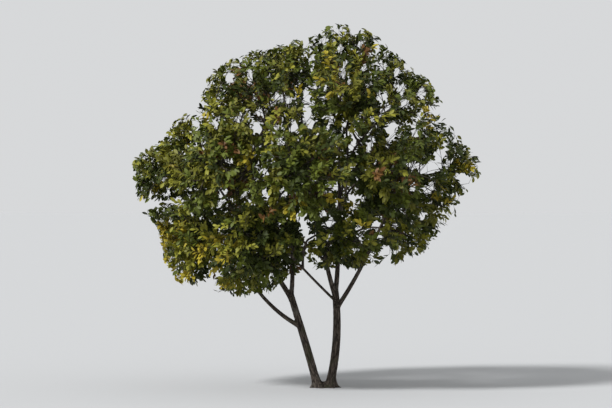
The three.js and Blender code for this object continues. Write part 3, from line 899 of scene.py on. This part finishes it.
# Where a point shows in the plane of the sky gaps, seen from the camera
def seenPlaces(points):
    ahead = studio["cameraFar"] / (studio["cameraFar"] + points[:, 1:2])
    eye = np.array((studio["aim"][0], studio["aim"][2]))
    return eye + (points[:, (0, 2)] - eye) * ahead


# A line cut off after the last point that lies well within its mass's fine space, or none
def cutShort(line, lobe):
    places = np.linspace(0, len(line) - 1, firstTwig["cutTests"])
    points = pointsAt(places, line)
    inside = fineRoom(points, lobe, openSpace["beyondBall"]) > firstTwig["tipRoom"]
    inside &= ~showsSky(seenPlaces(points), -firstTwig["skyMargin"])
    if not inside.any():
        return None
    return pointsAt(np.linspace(0, places[np.flatnonzero(inside)[-1]], len(line)), line)


# The ends of twigs at the first tried share of their lengths that is in the open, and which twigs have one
def endsInTheOpen(starts, ways, lengths, lobe, margin):
    kept = np.zeros(len(starts), bool)
    ends = starts.copy()
    for shortening in openSpace["shortenings"]:
        tried = starts + ways * (lengths * shortening)[:, None]
        clear = (fineRoom(tried, lobe, openSpace["beyondBall"]) > margin) & ~showsSky(seenPlaces(tried))
        clear &= ~kept & (limbClearance(tried, limbs) > openSpace["limbGap"])
        ends[clear] = tried[clear]
        kept |= clear
    return ends, kept


# A mass's own stem and first twigs, carried on towards the edge of its space
def firstLines(lobe, numbers):
    curve = lobe.stem.curve
    shares = np.linspace(0, 1, firstTwig["points"])
    way = wayOn(curve, 1.0)
    onward = runInLobe(curve[2], way, lobe, firstTwig["stemOnward"])
    lines = [pointOn(curve, shares) + shares[:, None] ** 3 * way * onward]
    onStem = pointsAt(np.linspace(0, firstTwig["points"] - 1, firstTwig["joinTests"]), lines[0])
    for start, end in lobe.twigs:
        start = onStem[np.argmin(sizesOf(onStem - start))]
        way = unit(end - start)
        end = end + way * runInLobe(end, way, lobe, firstTwig["twigOnward"])
        lines.append(twigLine(start, end, way, norm(end - start), numbers))
    lines = [line for line in (cutShort(line, lobe) for line in lines) if line is not None]
    return lines + moreLines(lobe, lines, numbers)


# Further first twigs, where a mass's space is still bare
def moreLines(lobe, lines, numbers):
    count, apart = firstTwig["moreTries"], firstTwig["moreApart"]
    shares = numbers.uniform(firstTwig["moreFrom"], 1, count)
    starts = pointsAt(shares * (firstTwig["points"] - 1), lines[0])
    along = np.tile(unit(lines[0][-1] - lines[0][0]), (count, 1))
    ways = turned(along, spreadsOf(firstTwig, count, numbers), np.arange(count) * goldenTurn)
    lengths = np.full(count, firstTwig["moreLength"])
    ends, kept = endsInTheOpen(starts, ways, lengths, lobe, firstTwig["tipRoom"])
    tips = [line[-1] for line in lines]
    more = []
    for i in np.flatnonzero(kept):
        if sizesOf(np.array(tips) - ends[i]).min() > apart and norm(ends[i] - starts[i]) > apart:
            more.append(twigLine(starts[i], ends[i], ways[i], lengths[i], numbers))
            tips.append(ends[i])
    return more


# Where sprays leave a line: points, ways on and shares of its length, evenly and one at the tip
def leavingPlaces(line):
    far = np.concatenate(([0], np.cumsum(sizesOf(np.diff(line, axis=0)))))
    shares = np.append(np.arange(spray["from"], spray["to"], spray["every"] / far[-1]), 1.0)
    ahead = np.minimum(shares + spray["wayShare"], 1)
    behind = ahead - 2 * spray["wayShare"]
    here, ahead, behind = (pointsAt(places * far[-1], line, far) for places in (shares, ahead, behind))
    return here, unit(ahead - behind), shares


# A mass's sprays leave its stem and first twigs by the golden turn, each as long as its space allows
def makeSprays(lobe, lines, numbers):
    starts, ways, shares = (np.concatenate(part) for part in zip(*map(leavingPlaces, lines)))
    count = len(starts)
    spread = spreadsOf(spray, count, numbers) * (shares < 1)
    turn = np.arange(count) * goldenTurn + numbers.uniform(*spray["turn"], count)
    ways = drawnOut(turned(ways, spread, turn), starts, spray)
    lengths = mix(*spray["lengths"], shares) * numbers.uniform(*spray["stretch"], count)
    ends, kept = endsInTheOpen(starts, ways, lengths, lobe, spray["margin"])
    aside = turned(ways, np.full(count, fullTurn / 4), numbers.uniform(0, fullTurn, count))
    aside = aside * (spray["bow"] * lengths)[:, None]
    kept = zip(starts[kept], ends[kept], aside[kept])
    return np.array([bowedLine(*one, spray["points"]) for one in kept])


# Points at some places on some of many lines, by the order of their points, and the steps they lie in
def pointsAlong(lines, whole, places):
    before = np.minimum(places.astype(int), lines.shape[1] - 2)
    steps = lines[whole, before + 1] - lines[whole, before]
    return lines[whole, before] + steps * (places - before)[..., None], steps


def makeShoots(lobe, sprays, numbers):
    shares = np.tile(shoot["places"], len(sprays))
    whole = np.repeat(np.arange(len(sprays)), len(shoot["places"]))
    starts, ways = pointsAlong(sprays, whole, shares * (sprays.shape[1] - 1))
    spread = spreadsOf(shoot, len(shares), numbers) * (shares < 1)
    turn = np.tile(np.arange(len(shoot["places"])), len(sprays)) * goldenTurn
    turn = turn + numbers.uniform(0, fullTurn, len(sprays))[whole]
    ways = drawnOut(turned(unit(ways), spread, turn), starts, shoot)
    lengths = numbers.uniform(*shoot["lengths"], len(shares))
    ends, kept = endsInTheOpen(starts, ways, lengths, lobe, 0.0)
    depth = sizesOf(ends - crownMiddle)
    kept &= (depth > shoot["bareMiddle"]) | (numbers.uniform(0, 1, len(shares)) < shoot["bareShare"])
    middles = starts + 0.5 * (ends - starts)
    middles[:, 2] += shoot["bow"] * lengths
    return np.stack((starts, middles, ends), axis=1)[kept], whole[kept], shares[kept]


# Lines cut off at shares of their length
def cutOff(lines, shares):
    whole = np.arange(len(lines))[:, None]
    return pointsAlong(lines, whole, shares[:, None] * np.arange(lines.shape[1]))[0]


# Shoots cut off at their last leaf
def endAtLeaves(lines, last):
    ends, _ = pointsAlong(lines, np.arange(len(lines)), 2 * last)
    middles = np.where(last[:, None] > 0.5, lines[:, 1], (lines[:, 0] + ends) / 2)
    return np.stack((lines[:, 0], middles, ends), axis=1)


# How far along each of some lines the last thing on it is
def lastOn(count, lines, shares):
    last = np.zeros(count)
    np.maximum.at(last, lines, shares)
    return last


# Leaf tints are dealt out by spray: name, record slot, darker and lighter colour, and how often it comes up
# anywhere, and how much more often at the low left, in the lit upper left and inside the crown. The olive and
# light tints that come up more in the lit upper left are painted light, and the deep green that comes up more
# inside the crown is painted shade

leafTints = (
    ("leaves_green", "leaf_green",
     (0.036, 0.048, 0.005), (0.095, 0.115, 0.012), (0.3, -0.1, 0.05, -0.1)),
    ("leaves_deep_green", "leaf_deep_green",
     (0.015, 0.022, 0.003), (0.042, 0.056, 0.008), (0.31, -0.2, -0.22, 0.2)),
    ("leaves_olive", "leaf_olive",
     (0.065, 0.066, 0.006), (0.145, 0.143, 0.016), (0.23, 0.1, 0.25, -0.15)),
    ("leaves_light", "leaf_olive",
     (0.12, 0.122, 0.012), (0.235, 0.228, 0.025), (0.08, 0.3, 0.25, -0.07)),
    ("leaves_yellow", "leaf_yellow",
     (0.17, 0.138, 0.01), (0.35, 0.285, 0.026), (0.02, 0.48, 0.02, -0.02)),
    ("leaves_russet", "leaf_russet",
     (0.07, 0.031, 0.01), (0.155, 0.075, 0.02), (0.022, 0.06, 0.0, 0.0)),
)

# Where those parts of the crown begin, across, up and from its middle, and over how far they set in
tintParts = {
    "lowAcross": (-1.1, -0.7), "lowUp": (2.5, -0.7), "litAcross": (-0.2, -1.5), "litUp": (2.4, 1.2),
    "inside": (1.75, -0.6),
}

# The noise is in waves to a metre and detail, and the veins are in shares of a leaf's length
leafFinish = {
    "roughness": 0.55, "bump": 0.35, "bumpDepth": 0.001,
    "mottleNoise": (60, 3), "mottle": 0.5, "toneShare": 0.68, "darkest": 0.05, "lightest": 0.95,
    "veinSlant": 0.6, "veinSpacing": 0.07, "midrib": 0.35, "veinLight": 1.5, "veins": (0.012, 0.0, 0.0, 0.5),
}


def setIn(values, part):
    start, run = tintParts[part]
    return np.clip((values - start) / run, 0, 1)


def dealTints(places, numbers):
    low = setIn(places[:, 0], "lowAcross") * setIn(places[:, 2], "lowUp")
    # Lighter tints come up more in the upper left, where the key light falls, as painted light
    lit = setIn(places[:, 0], "litAcross") * setIn(places[:, 2], "litUp")
    # Deeper inside the crown more deep green leaves come up, as painted shade
    inside = setIn(sizesOf(places - crownMiddle), "inside")
    weights = []
    for *_, (anywhere, atLow, atLit, atShadedInside) in leafTints:
        weights.append(anywhere + atLow * low + atLit * lit + atShadedInside * inside)
    limits = np.cumsum(np.maximum(0, np.array(weights).T), axis=1)
    return (numbers.uniform(0, 1, len(places))[:, None] * limits[:, -1:] > limits).sum(1)


def leafTemplate():
    bm = bmesh.new()
    xSegments, ySegments = leaf["segments"]
    bmesh.ops.create_grid(bm, x_segments=xSegments, y_segments=ySegments, size=0.5)
    for vert in bm.verts:
        along = vert.co.x + 0.5
        bulge = math.sin(math.pi * min(1, along) ** leaf["footSlope"]) ** leaf["roundness"]
        vert.co.y *= leaf["width"] * bulge
        vert.co.x = along
        vert.co.z = leaf["fold"] * abs(vert.co.y) - leaf["curl"] * along ** 2
    bmesh.ops.remove_doubles(bm, verts=bm.verts, dist=leaf["weld"])
    return templateOf(bm)


def makeLeafMaterial(name, dark, light):
    material, tree, shader = newMaterial(name, leafFinish["roughness"])
    place = addAttribute(tree, "leafPlace")
    along, across, tone = addNode(tree, "ShaderNodeSeparateXYZ", {"Vector": place}).outputs
    mottle = addNoise(tree, objectPlace(tree), *leafFinish["mottleNoise"])["Fac"]
    mixed = addMath(tree, "ADD", addMath(tree, "MULTIPLY", mottle, leafFinish["mottle"]), tone)
    stops = (leafFinish["darkest"], dark), (leafFinish["lightest"], light)
    blade = addRamp(tree, addMath(tree, "MULTIPLY", mixed, leafFinish["toneShare"]), stops)
    aside = addMath(tree, "ABSOLUTE", across)
    slanted = addMath(tree, "SUBTRACT", along, addMath(tree, "MULTIPLY", aside, leafFinish["veinSlant"]))
    sideVeins = addMath(tree, "PINGPONG", slanted, leafFinish["veinSpacing"])
    midrib = addMath(tree, "MULTIPLY", aside, leafFinish["midrib"])
    veins = addMath(tree, "MINIMUM", midrib, sideVeins)
    veinColour = [min(1.0, leafFinish["veinLight"] * value) for value in light]
    colour = addColour(tree, addRange(tree, veins, *leafFinish["veins"]), blade, veinColour)
    finishShader(tree, shader, colour, veins, leafFinish["bump"], leafFinish["bumpDepth"])
    return material


# Leaves leave each shoot by the golden turn, droop a little, and face out and up
def leafFrames(lobe, lines, numbers):
    count = leaf["count"]
    whole = np.repeat(np.arange(len(lines)), count)
    shares = np.tile(np.linspace(leaf["from"], 1, count), len(lines))
    roots, _ = pointsAlong(lines, whole, 2 * shares)
    spread = spreadsOf(leaf, len(whole), numbers) * (1 - leaf["narrowing"] * shares)
    turn = np.tile(np.arange(count), len(lines)) * goldenTurn
    turn = turn + numbers.uniform(0, leaf["firstTurn"], len(lines))[whole]
    ways = turned(unit(lines[:, 2] - lines[:, 0])[whole], spread, turn)
    ways = unit(ways - (0, 0, leaf["droop"]))
    facing = leaf["outward"] * outwardFrom(roots) + (0, 0, leaf["upward"])
    facing = unit(facing + leaf["flutter"] * numbers.normal(0, leaf["flutterStray"], (len(whole), 3)))
    sideways = unit(np.cross(facing, ways))
    normals = np.cross(ways, sideways)
    sizes = leaf["length"] * numbers.uniform(*leaf["sizes"], len(whole))
    tips = roots + ways * sizes[:, None]
    middles = (roots + tips) / 2
    strays = numbers.uniform(-1, 1, len(whole))
    edge = numbers.uniform(0, leaf["edgeStray"], len(lines))[whole]
    kept = fineRoom(tips, lobe, leaf["beyondBall"] + lobe.sprig) > edge
    kept &= limbClearance(middles, limbs) > leaf["limbGap"]
    for points in (tips, middles):
        seen = seenPlaces(points)
        kept &= ~showsSky(seen, strays * leaf["gapStray"]) & ~inSpeck(seen, strays)
    frames = np.stack((ways, sideways, normals), axis=1)
    return [part[kept] for part in (roots, frames, sizes, whole, shares)]


# Shoots with few leaves left go, and shoots and sprays end at their last leaf or shoot
def growLeaves(numbers):
    allStems, allTwigs, allSprays, allShoots, grown = [], [], [], [], []
    for lobe in lobes:
        lines = firstLines(lobe, numbers)
        sprays = makeSprays(lobe, lines, numbers)
        shoots, ofSpray, places = makeShoots(lobe, sprays, numbers)
        tints = dealTints(sprays[:, -1], numbers)[ofSpray]
        odd = numbers.uniform(0, 1, len(tints)) < leaf["oddShare"]
        tints[odd] = dealTints(shoots[odd, 2], numbers)
        *placed, ofShoot, shares = leafFrames(lobe, shoots, numbers)
        tones = numbers.uniform(0, 1, len(sprays))[ofSpray]
        leafy = np.bincount(ofShoot, minlength=len(shoots)) >= leaf["fewest"]
        grown.append([part[leafy[ofShoot]] for part in (*placed, tints[ofShoot], tones[ofShoot])])
        shoots = endAtLeaves(shoots, lastOn(len(shoots), ofShoot, shares))
        reach = lastOn(len(sprays), ofSpray[leafy], places[leafy])
        allStems.append(lines[0])
        allTwigs += lines[1:]
        allSprays.append(cutOff(sprays, reach)[reach > 0])
        allShoots.append(shoots[leafy])
    makeRods("mass_stems", np.array(allStems), massStem)
    makeRods("first_twigs", np.array(allTwigs), firstTwig)
    makeRods("sprays", np.concatenate(allSprays), spray)
    makeRods("shoots", np.concatenate(allShoots), shoot)
    return [np.concatenate(part) for part in zip(*grown)]


def makeLeaves():
    numbers = np.random.default_rng(shoot["seed"])
    roots, frames, sizes, tints, tones = growLeaves(numbers)
    blade, faces = leafTemplate()
    for order, (name, slot, dark, light, _) in enumerate(leafTints):
        mine = tints == order
        blades = roots[mine, None] + sizes[mine, None, None] * (blade @ frames[mine])
        mesh = joinCopies(name, blades, faces)
        places = np.broadcast_to(blade, (mine.sum(), *blade.shape)).copy()
        places[:, :, 2] = mix(numbers.uniform(0, 1, mine.sum()), tones[mine], leaf["sprayTone"])[:, None]
        setPlaces(mesh, "leafPlace", places)
        nodes = [node for node in frame["nodes"] if slotOf[node] == slot and name != "leaves_light"]
        finishPiece(mesh, makeLeafMaterial(name, dark, light), nodes)
        report(f"{name}: {mine.sum()} leaves, {len(mesh.polygons)} faces")


# A plain pale studio

studio = {
    "aim": (-0.25, 0.0, 2.5), "cameraFar": 45.0, "cameraRise": 1.0, "shownHeight": 5.55, "shape": 612 / 408,
    "clipEnd": 1000, "world": (0.68, 0.69, 0.7),
    "floor": (0.44, 0.445, 0.45), "floorRadius": 120.0, "floorSides": 96, "floorRoughness": 0.9,
    "keyStrength": 3.9, "keyBearing": -50, "keyRise": 42, "keyAngle": 12,
}


def makeWorld():
    scene.view_settings.view_transform = "Standard"
    world = bpy.data.worlds.new("pale_room")
    world.use_nodes = True
    world.node_tree.nodes["Background"].inputs["Color"].default_value = (*studio["world"], 1)
    scene.world = world


def makeFloor():
    bm = bmesh.new()
    bmesh.ops.create_circle(bm, cap_ends=True, segments=studio["floorSides"], radius=studio["floorRadius"])
    mesh = meshFrom(bm, "floor")
    material, _, shader = newMaterial("pale_floor", studio["floorRoughness"])
    shader.inputs["Base Color"].default_value = (*studio["floor"], 1)
    mesh.materials.append(material)
    floor = addObject("floor", mesh)


# The way to something at a bearing from the front and a rise, in degrees
def wayTo(bearing, rise):
    bearing, rise = math.radians(bearing), math.radians(rise)
    flat = math.cos(rise)
    return Vector((math.sin(bearing) * flat, -math.cos(bearing) * flat, math.sin(rise)))


def makeKeyLight():
    key = bpy.data.lights.new("key", "SUN")
    key.energy = studio["keyStrength"]
    key.angle = math.radians(studio["keyAngle"])
    way = wayTo(studio["keyBearing"], studio["keyRise"])
    addObject("key", key).rotation_euler = way.to_track_quat("Z", "Y").to_euler()


def makeCamera():
    camera = bpy.data.cameras.new("camera")
    camera.lens = camera.sensor_width * studio["cameraFar"] / (studio["shownHeight"] * studio["shape"])
    camera.clip_end = studio["clipEnd"]
    eye = addObject("camera", camera)
    back = wayTo(0, studio["cameraRise"])
    eye.location = Vector(studio["aim"]) + back * studio["cameraFar"]
    eye.rotation_euler = back.to_track_quat("Z", "Y").to_euler()
    scene.camera = eye


makeLeaves()
makeWorld()
makeFloor()
makeKeyLight()
makeCamera()
report("studio")
